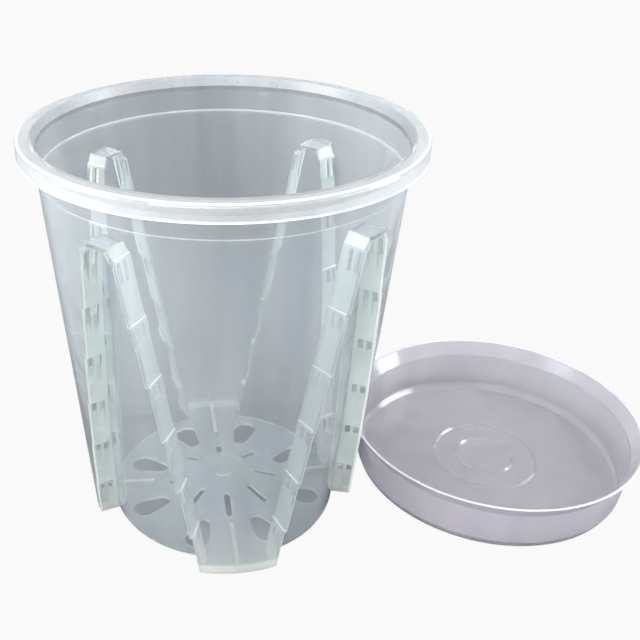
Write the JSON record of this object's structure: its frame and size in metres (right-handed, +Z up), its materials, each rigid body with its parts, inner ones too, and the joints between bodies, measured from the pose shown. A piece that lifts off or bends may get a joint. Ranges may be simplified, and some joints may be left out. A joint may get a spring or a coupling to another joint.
{
  "type": "orchid pot with slots",
  "caption": "Clear tapered orchid pot with four feet, slotted stepped side walls, a holed domed floor and a hooked rim, with its round saucer beside it.",
  "frame": {"origin": "the pot's axis where it meets the plane that the feet stand on", "axes": "+Z up the pot's axis, +X through the foot nearest the saucer, +Y through the foot on the far side"},
  "size_m": [0.2496, 0.14, 0.157],
  "materials": {
    "pot": "clear gloss",
    "saucer": "clear gloss"
  },
  "bodies": {
    "pot": {"pot": "pot"},
    "saucer": {"saucer": "saucer"}
  },
  "joints": [
    {"name": "saucer_slide", "type": "slide", "parent": "pot", "child": "saucer", "axis": [1, 0, 0], "range_m": [0, 0.12]}
  ]
}
